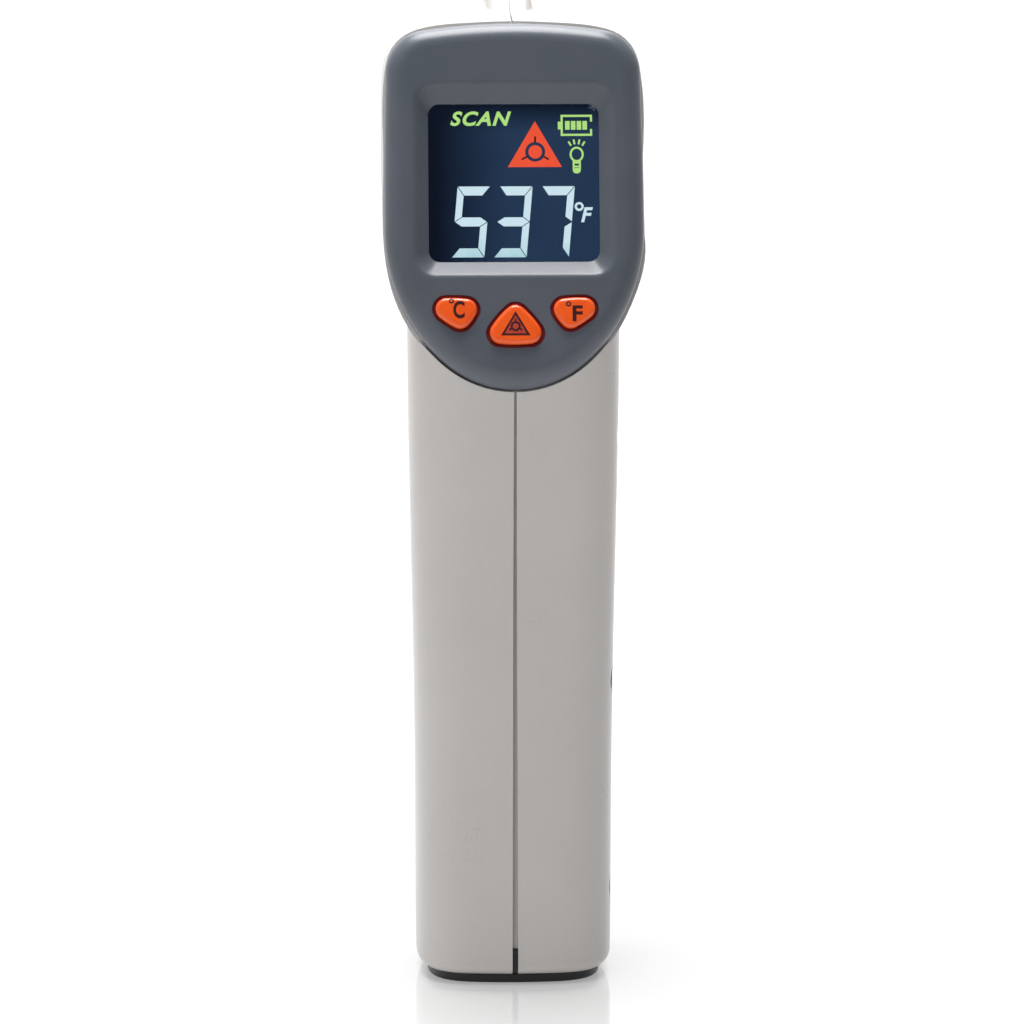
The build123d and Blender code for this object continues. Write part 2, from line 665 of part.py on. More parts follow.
def lens_retainer():
    y1 = TUBE[1]
    ring = [(y1, 6.5), (y1, 8.2), (y1 + 0.6, 8.2), (y1 + 1.0, 7.8), (y1 + 1.0, 6.9), (y1 + 0.6, 6.5)]
    return turned(ring, LENS_Z)


def thermopile():
    y0 = TUBE[0]
    flange = [(y0 - 3.2, 0), (y0 - 3.2, 4.6), (y0 - 2.4, 4.6)]
    can = [(y0 - 2.4, 4.1), (y0 + 2.3, 4.1), (y0 + 2.6, 3.8), (y0 + 2.6, 0)]
    return turned(flange + can, LENS_Z) - rod_y(0, LENS_Z, 1.6, y0 + 2.2, y0 + 4)


def sensor_board():
    y0 = TUBE[0]
    return rod_y(0, LENS_Z, 7.6, y0 - 4.4, y0 - 3.2)


def sensor_ribbon():
    """Flat cable from the sensor board to the main board, in one gentle bend."""
    y1 = TUBE[0] - 4.4
    board_back = DISPLAY.from_local_coords((0, -22, BOARD_FRONT - BOARD_THICKNESS))
    inward = OUTWARD * -1
    start = (board_back.Y + inward.Y * 0.3, board_back.Z + inward.Z * 0.3)
    knee = (start[0] + 9 * inward.Y, start[1] + 9 * inward.Z)
    line = FilletPolyline(start, knee, (y1 - 7, LENS_Z), (y1 - 0.3, LENS_Z), radius=(12, 14))
    plane = Plane(origin=(-RIBBON_HALF_WIDTH, 0, 0), x_dir=(0, 1, 0), z_dir=(1, 0, 0))
    strip = make_face(offset(line, amount=0.15, side=Side.BOTH, kind=Kind.ARC))
    return extrude(plane * strip, amount=2 * RIBBON_HALF_WIDTH, dir=(1, 0, 0))


def laser_module():
    tube = rod_y(0, LASER_Z, LASER_RADIUS, 51, 66.5)
    tube = tube - rod_y(0, LASER_Z, 1.7, 63, 67) - rod_y(0, LASER_Z, 2.3, 50, 53)
    return tube + block((-2.1, 2.1), (46.6, 53.05), (LASER_Z - 0.5, LASER_Z + 0.5))


def laser_window():
    return rod_y(0, LASER_Z, LASER_RADIUS, 70.0, 70.85)


def laser_clamp():
    """Saddle that carries the laser on the sensor tube."""
    saddle = block((-4.5, 4.5), (49.2, 55.2), (137, 148)) & head(WALL + 0.2)
    saddle = saddle - rod_y(0, LENS_Z, TUBE[2] + 0.05, 40, 70)
    return saddle - rod_y(0, LASER_Z, LASER_RADIUS + 0.05, 40, 70)


# ---- trigger ----------------------------------------------------------------------------------------
def trigger():
    """Finger lever hung from its pivot, hollow behind its concave face."""
    back = Plane(origin=(-TRIGGER_HALF_WIDTH, 0, 0), x_dir=(0, 1, 0), z_dir=(1, 0, 0))
    y, z = PIVOT
    outline = [
        Line((y - 3, z), (STRIKER_Y, SWITCH_Z + 3.8)),
        Line((STRIKER_Y, SWITCH_Z + 3.8), (STRIKER_Y, SWITCH_Z - 3)),
        Line((STRIKER_Y, SWITCH_Z - 3), (11.6, 97.5)),
        Line((11.6, 97.5), (11.6, 84.8)),
        Line((11.6, 84.8), (20.8, 84.8)),
        Spline((20.8, 84.8), (20.9, 86.2), (19.7, 93.5), (20.1, 101.0), (22.2, 108.0)),
        Line((22.2, 108.0), (21.2, 109.2)),
        Line((21.2, 109.2), (y + 1.6, z + 2.55)),
        ThreePointArc((y + 1.6, z + 2.55), (y - 1.2, z + 2.75), (y - 3, z)),
    ]
    lever = extrude(back * make_face(outline), amount=2 * TRIGGER_HALF_WIDTH, dir=(1, 0, 0))
    face_sides = [
        e for e in lever.edges()
        if abs(abs(e.center().X) - TRIGGER_HALF_WIDTH) < 0.01 and e.length > 20 and e.center().Y > 18
    ]
    lever = fillet_if(lever, face_sides, (2.0, 1.5, 1.0))
    inner = TRIGGER_HALF_WIDTH - 1.6
    room = [
        Spline((18.6, 86.6), (17.9, 93.5), (18.3, 101.0), (19.4, 106.0)),
        Line((19.4, 106.0), (10.0, 106.0)),
        Line((10.0, 106.0), (10.0, 86.6)),
        Line((10.0, 86.6), (18.6, 86.6)),
    ]
    hollow_plane = Plane(origin=(-inner, 0, 0), x_dir=(0, 1, 0), z_dir=(1, 0, 0))
    lever = lever - extrude(hollow_plane * make_face(room), amount=2 * inner, dir=(1, 0, 0))
    striker_reach = (-TRIGGER_HALF_WIDTH + 1, TRIGGER_HALF_WIDTH - 1)
    striker = block(striker_reach, (STRIKER_Y, 10.1), (SWITCH_Z - 2.8, SWITCH_Z + 3))
    lever = lever + striker + rod_y(0, TRIGGER_SPRING_Z, 1.5, 15.4, 19)
    lever = lever - block((-inner, inner), (5, 15), (80, SWITCH_Z - 3.5))
    return lever - rod_x(*PIVOT, PIVOT_PIN_RADIUS + RUN, -10, 10)


def trigger_pivot_pin():
    return rod_x(*PIVOT, PIVOT_PIN_RADIUS, -12.6, 12.6)


def trigger_spring():
    """Space of the compression spring behind the trigger."""
    y0, y1 = SPRING_SEAT[1] - 0.6, 17.0
    return rod_y(0, TRIGGER_SPRING_Z, 2.3, y0, y1) - rod_y(0, TRIGGER_SPRING_Z, 1.65, y0 - 1, y1 + 1)


def trigger_board():
    return block((-7.5, 7.5), (-0.9, 0.3), (SWITCH_Z - 3.6, SWITCH_Z + 6.5))


def trigger_switch():
    body = block((-3.2, 3.2), (0.3, 6.0), (SWITCH_Z - 2.6, SWITCH_Z + 3.4))
    body = chamfer([e for e in body.edges() if abs(e.tangent_at(0.5).Y) > 0.99], 0.5)
    return body - rod_y(0, SWITCH_Z, 1.25, 3.4, 7)


def trigger_plunger():
    stem = rod_y(0, SWITCH_Z, 1.2, 4.8, STRIKER_Y - 0.15)
    tip = [e for e in stem.edges() if e.center().Y > STRIKER_Y - 0.2]
    return fillet(tip, 0.8)


# ---- battery compartment ----------------------------------------------------------------------------
def cell_spans():
    """(low, high) along Z of the two cells, each against its own contact dimple."""
    bottom = TRAY_FLOOR[1] + PLATE + DIMPLE
    top = TRAY_ROOF[0] - PLATE - DIMPLE
    return (top - CELL_LENGTH, top), (bottom, bottom + CELL_LENGTH)


def battery_tray():
    x = CELL_X + CELL_RADIUS + 0.15
    back = block((-x - 0.9, x + 0.9), (-1.6, -0.4), (TRAY_FLOOR[0], TRAY_ROOF[1]))
    flange = block((-13.3, 13.3), (-1.6, -0.4), (18, 64))
    floor = block((-x - 0.9, x + 0.9), (-1.6, CELL_Y + 5.4), TRAY_FLOOR)
    roof = block((-x - 0.9, x + 0.9), (-1.6, CELL_Y + 5.4), TRAY_ROOF)
    tray = back + flange + floor + roof
    for side in (-1, 1):
        wall = (x, x + 0.9) if side > 0 else (-x - 0.9, -x)
        tray = tray + block(wall, (-1.6, CELL_Y - 0.2), (TRAY_FLOOR[0], TRAY_ROOF[1]))
    fin = block((-1.4, 1.4), (-1.0, CELL_Y - 1.2), (22, 58))
    for x0 in (-CELL_X, CELL_X):
        fin = fin - rod_z(x0, CELL_Y, CELL_RADIUS + 0.25, 10, 70)
    return (tray + fin) & grip(WALL + 0.25)


def battery(x, low, high, positive_up):
    """AAA cell with its raised positive end."""
    can_low, can_high = (low, high - 1.0) if positive_up else (low + 1.0, high)
    can = rod_z(x, CELL_Y, CELL_RADIUS, can_low, can_high)
    can = fillet([e for e in can.edges() if e.geom_type == GeomType.CIRCLE], 0.5)
    nub_low, nub_high = (can_high - 0.2, high) if positive_up else (low, can_low + 0.2)
    nub = rod_z(x, CELL_Y, 1.9, nub_low, nub_high)
    tip = [e for e in nub.edges() if abs(e.center().Z - (high if positive_up else low)) < 0.01]
    return can + fillet(tip, 0.3)


def contact(x, z, upward):
    """Contact plate with a dimple that meets a positive end."""
    plate = block((x - 4.6, x + 4.6), (CELL_Y - 4.6, CELL_Y + 4.6), (z, z + PLATE))
    low, high = (z + PLATE, z + PLATE + DIMPLE) if upward else (z - DIMPLE, z)
    return plate + rod_z(x, CELL_Y, 2.0, low, high)


def contact_plates():
    """The two separate plates under the tray's roof, with the tags that the leads are soldered to."""
    z = TRAY_ROOF[0] - PLATE
    positive = contact(-CELL_X, z, False)
    negative = block((CELL_X - 4.6, CELL_X + 4.6), (CELL_Y - 4.6, CELL_Y + 4.6), (z, z + PLATE))
    return Compound(children=[positive, negative])


def battery_bridge():
    z = TRAY_FLOOR[1]
    strap = block((-CELL_X - 4.6, CELL_X + 4.6), (CELL_Y - 4.6, CELL_Y + 4.6), (z, z + PLATE))
    return strap + rod_z(CELL_X, CELL_Y, 2.0, z + PLATE, z + PLATE + DIMPLE)


def spring_cone(x, z_wide, z_narrow):
    """Space of a conical contact spring."""
    cup = Pos(x, CELL_Y, min(z_wide, z_narrow))
    wide, narrow, length = 3.6, 2.2, abs(z_wide - z_narrow)
    low, high = (wide, narrow) if z_wide < z_narrow else (narrow, wide)
    return cup * (
        Cone(low, high, length, align=(Align.CENTER, Align.CENTER, Align.MIN))
        - Cone(low - 0.6, high - 0.6, length, align=(Align.CENTER, Align.CENTER, Align.MIN))
    )


def battery_springs():
    (first_low, _), (_, second_high) = cell_spans()
    return Compound(children=[
        spring_cone(-CELL_X, TRAY_FLOOR[1] + PLATE, first_low),
        spring_cone(CELL_X, TRAY_ROOF[0] - PLATE, second_high),
    ])


def battery_lead(side):
    """Lead from a contact plate's tag up to the socket on the main board."""
    mouth_depth = BOARD_FRONT - BOARD_THICKNESS - SOCKET_DEPTH + 1.5
    end = DISPLAY.from_local_coords((side * LEAD_PITCH, SOCKET_DOWN, mouth_depth))
    before = end - OUTWARD * 6.0
    start = Vector(side * CELL_X, LEAD_Y, TRAY_ROOF[1] + 0.02)
    rise = Vector(side * CELL_X, LEAD_Y, TRAY_ROOF[1] + 9)
    turn = Vector(before.X, before.Y, before.Z - 7)
    line = FilletPolyline(start, rise, turn, before, end, radius=(9.0, 6.0, 2.2))
    section = Plane(origin=start, z_dir=(0, 0, 1)) * Circle(LEAD_RADIUS)
    return sweep(section, path=line)


def battery_door(form):
    """Front of the grip, hinged at its foot."""
    shell = (form - grip(WALL)) & block((-30, 30), (DOOR_SPLIT + PARTING / 2, 30), (DOOR_BOTTOM, DOOR_TOP))
    for side in (-1, 1):
        near, far = side * (DOOR_KNUCKLE + 0.15), side * (EAR[1] + 0.2)
        shell = shell - rod_x(*HINGE, KNUCKLE_RADIUS + PARTING, near, far)
    shell = shell + rod_x(*HINGE, KNUCKLE_RADIUS, -DOOR_KNUCKLE, DOOR_KNUCKLE)
    scored = grip(0.5)
    for k in range(5):
        z = DOOR_TOP - 5.0 - 2.2 * k
        shell = shell - (block((-7 + 0.6 * k, 7 - 0.6 * k), (8, 30), (z - 0.55, z + 0.55)) - scored)
    return shell - rod_x(*HINGE, HINGE_PIN_RADIUS + RUN, -12, 12)


def door_hinge_pin():
    return rod_x(*HINGE, HINGE_PIN_RADIUS, -EAR[1] + 0.2, EAR[1] - 0.2)


# ---- fasteners --------------------------------------------------------------------------------------
def casing_screws():
    made = []
    for y, z in CASING_SCREWS:
        head_part = rod_x(y, z, 2.25, 5.45, 7.0)
        outer = [e for e in head_part.edges() if e.center().X > 6.9]
        head_part = fillet(outer, 0.5)
        cross = block((6.2, 7.1), (y - 1.4, y + 1.4), (z - 0.3, z + 0.3))
        cross = cross + block((6.2, 7.1), (y - 0.3, y + 0.3), (z - 1.4, z + 1.4))
        made.append(head_part - cross + rod_x(y, z, 1.1, -6.5, 5.45))
    return Compound(children=made)


# ---- build ------------------------------------------------------------------------------------------
def main():
    form = outer_form()
    hollow = casing_hollow()
    core = head(SEAM_DEPTH) + grip(SEAM_DEPTH) + spine(SEAM_DEPTH)
    groove = seam_groove(core)
    (first_low, first_high), (second_low, second_high) = cell_spans()
    nodes = {
        "casing_left": casing_half(-1, form, hollow, core, groove),
        "casing_right": casing_half(1, form, hollow, core, groove),
        "base_cap": base_cap(form),
        "display_bezel": display_bezel(),
        "display_window": display_window(),
        "lcd_panel": lcd_panel(),
        "lcd_frame": lcd_frame(),
        "backlight": backlight(),
        "lcd_contact_strip": lcd_strip(),
        "key_mat": key_mat(),
        "tact_switches": tact_switches(),
        "main_board": main_board(),
        "board_chips": board_chips(),
        "lead_socket": lead_socket(),
        "buzzer": buzzer(),
        "board_screws": board_screws(),
        "nose_fascia": nose_fascia(),
        "sensor_tube": sensor_tube(),
        "ir_lens": ir_lens(),
        "lens_retainer": lens_retainer(),
        "thermopile_sensor": thermopile(),
        "sensor_board": sensor_board(),
        "sensor_ribbon": sensor_ribbon(),
        "laser_module": laser_module(),
        "laser_window": laser_window(),
        "laser_clamp": laser_clamp(),
        "trigger": trigger(),
        "trigger_pivot_pin": trigger_pivot_pin(),
        "trigger_spring": trigger_spring(),
        "trigger_board": trigger_board(),
        "trigger_switch": trigger_switch(),
        "trigger_switch_plunger": trigger_plunger(),
        "battery_tray": battery_tray(),
        "battery_1": battery(-CELL_X, first_low, first_high, True),
        "battery_2": battery(CELL_X, second_low, second_high, False),
        "contact_plates": contact_plates(),
        "battery_bridge": battery_bridge(),
        "battery_springs": battery_springs(),
        "battery_lead_red": battery_lead(-1),
        "battery_lead_black": battery_lead(1),
        "battery_door": battery_door(form),
        "door_hinge_pin": door_hinge_pin(),
        "casing_screws": casing_screws(),
    }
    for name, (corners, switch) in KEYS.items():
        nodes[name + "_key"] = key(corners, switch)
        nodes[name + "_switch_plunger"] = plunger(switch)
    for name, shape in nodes.items():
        export_step(shape, f"parts/{name}.step")


main()
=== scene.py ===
import json
import math
import bmesh
import bpy
from mathutils import Matrix, Vector


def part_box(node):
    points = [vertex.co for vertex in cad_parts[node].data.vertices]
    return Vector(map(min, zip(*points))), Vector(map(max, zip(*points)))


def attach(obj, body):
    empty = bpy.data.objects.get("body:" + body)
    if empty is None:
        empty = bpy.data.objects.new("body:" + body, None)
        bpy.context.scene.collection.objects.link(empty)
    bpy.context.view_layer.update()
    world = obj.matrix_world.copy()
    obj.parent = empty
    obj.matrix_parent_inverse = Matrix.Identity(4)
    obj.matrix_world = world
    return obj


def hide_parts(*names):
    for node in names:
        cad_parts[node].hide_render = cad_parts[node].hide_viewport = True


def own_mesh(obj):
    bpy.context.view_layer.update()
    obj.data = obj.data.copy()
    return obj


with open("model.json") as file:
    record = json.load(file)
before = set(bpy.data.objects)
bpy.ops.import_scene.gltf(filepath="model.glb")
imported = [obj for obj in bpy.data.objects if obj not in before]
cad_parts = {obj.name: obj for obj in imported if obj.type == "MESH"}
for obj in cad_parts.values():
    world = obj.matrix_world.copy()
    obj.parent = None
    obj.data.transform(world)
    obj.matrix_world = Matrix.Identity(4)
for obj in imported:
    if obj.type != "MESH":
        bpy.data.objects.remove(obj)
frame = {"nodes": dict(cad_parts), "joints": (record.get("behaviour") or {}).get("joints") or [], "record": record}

# An infrared thermometer, seen from its user's side: white casing halves, a slate display shield with an
# illuminated LCD, three orange keys, and all of its inner parts.

MM = 0.001
NODES = frame["nodes"]
JOINTS = {joint["name"]: joint for joint in frame["joints"]}
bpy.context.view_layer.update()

# Directions of the tilted display face.
ACROSS = Vector((1, 0, 0))
OUT = -Vector(JOINTS["laser_press"]["axis"])
UP = OUT.cross(ACROSS)

# Camera, seen from the centre of the object.
CAMERA_AZIMUTH = -1.7
CAMERA_ELEVATION = 9.5
CAMERA_DISTANCE = 1.2
CAMERA_AIM = Vector((0, 0, 0.0738))
LENS = 262
SENSOR = 36

# Display graphics, in millimetres on the face.
PRINT_THICKNESS = 0.03
PRINT_LIFT = 0.005
DIGIT_WIDTH = 5.2
DIGIT_HEIGHT = 11.4
DIGIT_PITCH = 6.7
DIGIT_SLANT = 0.093
DIGIT_ORIGIN = (-10.15, -11.4)
DISPLAY_SHIFT = (0.2, -0.3)      # from the middle of the glass to the middle of what it shows
SEGMENT_TALL = 1.45
SEGMENT_WIDE = 1.08
SEGMENT_GAP = 0.09
RAY_START = 5.0                  # above a key's face, where the rays that find its surface begin

# Wire springs.
CLOSED_TURNS = 0.85              # at each end
OPEN_RISE = 0.92                 # share of the length that the open turns climb
CLOSED_RISE = 0.04               # share of the wire's radius that a closed turn climbs


# ---------------------------------------------------------------- shader nodes


def add(tree, kind, inputs=None, **settings):
    """A shader node with its settings, and its inputs given as values or as other nodes' outputs."""
    node = tree.nodes.new("ShaderNode" + kind)
    for key, value in settings.items():
        setattr(node, key, value)
    for socket, value in (inputs or {}).items():
        if isinstance(value, bpy.types.NodeSocket):
            tree.links.new(value, node.inputs[socket])
        else:
            node.inputs[socket].default_value = value
    return node


def srgb(red, green, blue):
    """A screen colour, 0 to 255, as linear light."""
    channels = (channel / 255 for channel in (red, green, blue))
    return tuple(c / 12.92 if c < 0.04045 else ((c + 0.055) / 1.055) ** 2.4 for c in channels)


def ramp(tree, factor, stops):
    """Colours between (position, colour) stops."""
    node = add(tree, "ValToRGB", {"Fac": factor})
    elements = node.color_ramp.elements
    elements.remove(elements[1])
    elements[0].position = stops[0][0]
    elements[0].color = (*stops[0][1], 1)
    for position, colour in stops[1:]:
        elements.new(position).color = (*colour, 1)
    return node.outputs["Color"]


def spread(tree, value, low, high, onto=(0.0, 1.0)):
    """A value between low and high moved onto another range, and held at its ends."""
    limits = {"Value": value, "From Min": low, "From Max": high, "To Min": onto[0], "To Max": onto[1]}
    return add(tree, "MapRange", limits).outputs["Result"]


def noise(tree, place, size, detail=2.0, stretch=None):
    """Noise whose features are size millimetres, longer along an axis where stretch is under 1."""
    if stretch:
        place = add(tree, "Mapping", {"Vector": place, "Scale": stretch}).outputs["Vector"]
    inputs = {"Vector": place, "Scale": 1 / (size * MM), "Detail": detail, "Roughness": 0.55}
    return add(tree, "TexNoise", inputs).outputs["Fac"]


def math_node(tree, operation, *values):
    return add(tree, "Math", dict(enumerate(values)), operation=operation).outputs["Value"]


def new_material(name, sockets):
    """A material with its node tree, its shader and the place on the surface; sockets are constants."""
    material = bpy.data.materials.new(name)
    material.use_nodes = True
    tree = material.node_tree
    shader = tree.nodes["Principled BSDF"]
    for socket, value in sockets.items():
        shader.inputs[socket].default_value = value
    place = add(tree, "TexCoord").outputs["Object"]
    return material, tree, shader, place


def relief(tree, shader, height, depth):
    """Bump of a depth in millimetres."""
    bump = add(tree, "Bump", {"Height": height, "Distance": depth * MM, "Strength": 1.0})
    tree.links.new(bump.outputs["Normal"], shader.inputs["Normal"])


# ---------------------------------------------------------------- materials


def moulded(
    name, dark, light, rough=(0.3, 0.4), grain=0.3, depth=0.003, patch=14.0, stretch=None, **sockets
):
    """Moulded, cast or rolled stock: colour drifting in patches, fine grain in colour, gloss and relief."""
    material, tree, shader, place = new_material(name, sockets)
    drift = noise(tree, place, patch, 3.0)
    fine = noise(tree, place, grain, 2.0, stretch)
    mixed = math_node(tree, "MULTIPLY_ADD", fine, 0.35, math_node(tree, "MULTIPLY", drift, 0.65))
    tree.links.new(ramp(tree, mixed, [(0.35, dark), (0.65, light)]), shader.inputs["Base Color"])
    tree.links.new(spread(tree, mixed, 0.35, 0.65, rough), shader.inputs["Roughness"])
    if depth:
        relief(tree, shader, fine, depth)
    return material


def lit(name, low, high, span, strength=1.0):
    """A backlit segment whose colour runs from low to high up the display, and is slightly uneven."""
    material, tree, shader, place = new_material(name, {"Roughness": 0.4, "Emission Strength": strength})
    height = add(tree, "SeparateXYZ", {"Vector": place}).outputs["Z"]
    climb = spread(tree, height, *span)
    uneven = math_node(tree, "MULTIPLY_ADD", noise(tree, place, 2.5), 0.3, climb)
    unlit = [tuple(channel * 0.1 for channel in colour) for colour in (low, high)]
    tree.links.new(ramp(tree, uneven, [(0.1, low), (0.55, high)]), shader.inputs["Emission Color"])
    tree.links.new(ramp(tree, uneven, [(0.1, unlit[0]), (0.55, unlit[1])]), shader.inputs["Base Color"])
    return material


def display_glass(name, dark, blue, lo, hi):
    """Dark LCD glass lit blue-grey by its backlight, with painted shade dimming it to near black at its left and
    top edges.
    """
    settings = {"Roughness": 0.12, "Specular IOR Level": 0.15, "Emission Strength": 1.0}
    material, tree, shader, place = new_material(name, settings)
    axes = add(tree, "SeparateXYZ", {"Vector": place})
    width, height = hi.x - lo.x, hi.z - lo.z
    # Painted shade: the backlight's glow is dimmed towards the glass's left and top edges, in emission and in base
    # colour.
    inward = spread(tree, axes.outputs["X"], lo.x + 0.08 * width, lo.x + 0.47 * width)
    downward = spread(tree, axes.outputs["Z"], hi.z - 0.02 * height, hi.z - 0.18 * height)
    cloud = math_node(tree, "MULTIPLY_ADD", noise(tree, place, 9.0, 2.0), 0.35, 0.8)
    glow = math_node(tree, "MULTIPLY", math_node(tree, "MULTIPLY", inward, downward), cloud)
    colour = ramp(tree, glow, [(0.0, dark), (1.0, blue)])
    tree.links.new(colour, shader.inputs["Emission Color"])
    tree.links.new(ramp(tree, glow, [(0.0, dark), (1.0, srgb(8, 14, 26))]), shader.inputs["Base Color"])
    return material


def circuit(name):
    """Green solder mask over copper tracks, with a fine laminate weave."""
    material, tree, shader, place = new_material(name, {"Coat Weight": 0.4, "Coat Roughness": 0.15})
    turned = add(tree, "Mapping", {"Vector": place, "Rotation": (0.3, 0.0, 0.0)}).outputs["Vector"]
    cells = {"Vector": turned, "Scale": 260.0, "Randomness": 0.35}
    voronoi = add(tree, "TexVoronoi", cells, feature="DISTANCE_TO_EDGE", distance="MANHATTAN")
    track = spread(tree, voronoi.outputs["Distance"], 0.05, 0.09, (1.0, 0.0))
    mask = ramp(tree, noise(tree, place, 6.0, 3.0), [(0.35, srgb(10, 58, 34)), (0.65, srgb(16, 74, 44))])
    copper = add(tree, "MixRGB", {"Fac": track, "Color1": mask, "Color2": (*srgb(30, 104, 60), 1)})
    tree.links.new(copper.outputs["Color"], shader.inputs["Base Color"])
    tree.links.new(spread(tree, track, 0, 1, (0.42, 0.3)), shader.inputs["Roughness"])
    weave = noise(tree, place, 0.25, 2.0)
    relief(tree, shader, math_node(tree, "MULTIPLY_ADD", track, 1.0, weave), 0.006)
    return material


def cell_sleeve(name, lo, hi):
    """A battery's printed sleeve: a dark body, a metallic band towards one end and a thin line."""
    material, tree, shader, place = new_material(name, {"Coat Weight": 0.5, "Coat Roughness": 0.1})
    height = add(tree, "SeparateXYZ", {"Vector": place}).outputs["Z"]
    climb = spread(tree, height, lo.z, hi.z)
    steel, body = srgb(186, 188, 190), srgb(28, 34, 44)
    band, line = srgb(196, 140, 66), srgb(222, 222, 216)
    lower = [(0.0, steel), (0.02, body), (0.66, body)]
    upper = [(0.665, line), (0.68, band), (0.955, band), (0.975, steel)]
    sleeve = ramp(tree, climb, lower + upper)
    speck = ramp(tree, noise(tree, place, 0.6, 3.0), [(0.3, (0.82, 0.82, 0.82)), (0.7, (1.0, 1.0, 1.0))])
    mixed = add(tree, "MixRGB", {"Fac": 1.0, "Color1": sleeve, "Color2": speck}, blend_type="MULTIPLY")
    tree.links.new(mixed.outputs["Color"], shader.inputs["Base Color"])
    gloss = spread(tree, noise(tree, place, 4.0), 0.3, 0.7, (0.22, 0.36))
    tree.links.new(gloss, shader.inputs["Roughness"])
    relief(tree, shader, noise(tree, place, 0.5), 0.004)
    return material


def striped(name, base, line, axis, pitch, share, rough, **sockets):
    """Printed or laid lines of one colour on another, pitch millimetres apart along an axis."""
    material, tree, shader, place = new_material(name, sockets)
    along = add(tree, "SeparateXYZ", {"Vector": place}).outputs[axis]
    wave = math_node(tree, "PINGPONG", math_node(tree, "MULTIPLY", along, 1 / (pitch * MM)), 0.5)
    stripe = spread(tree, wave, share / 2, share / 2 + 0.06, (1.0, 0.0))
    worn = noise(tree, place, 2.0, 3.0)
    ground = ramp(tree, worn, [(0.3, base), (0.7, tuple(channel * 0.8 for channel in base))])
    mixed = add(tree, "MixRGB", {"Fac": stripe, "Color1": ground, "Color2": (*line, 1)})
    tree.links.new(mixed.outputs["Color"], shader.inputs["Base Color"])
    tree.links.new(spread(tree, worn, 0.3, 0.7, rough), shader.inputs["Roughness"])
    relief(tree, shader, stripe, 0.02)
    return material


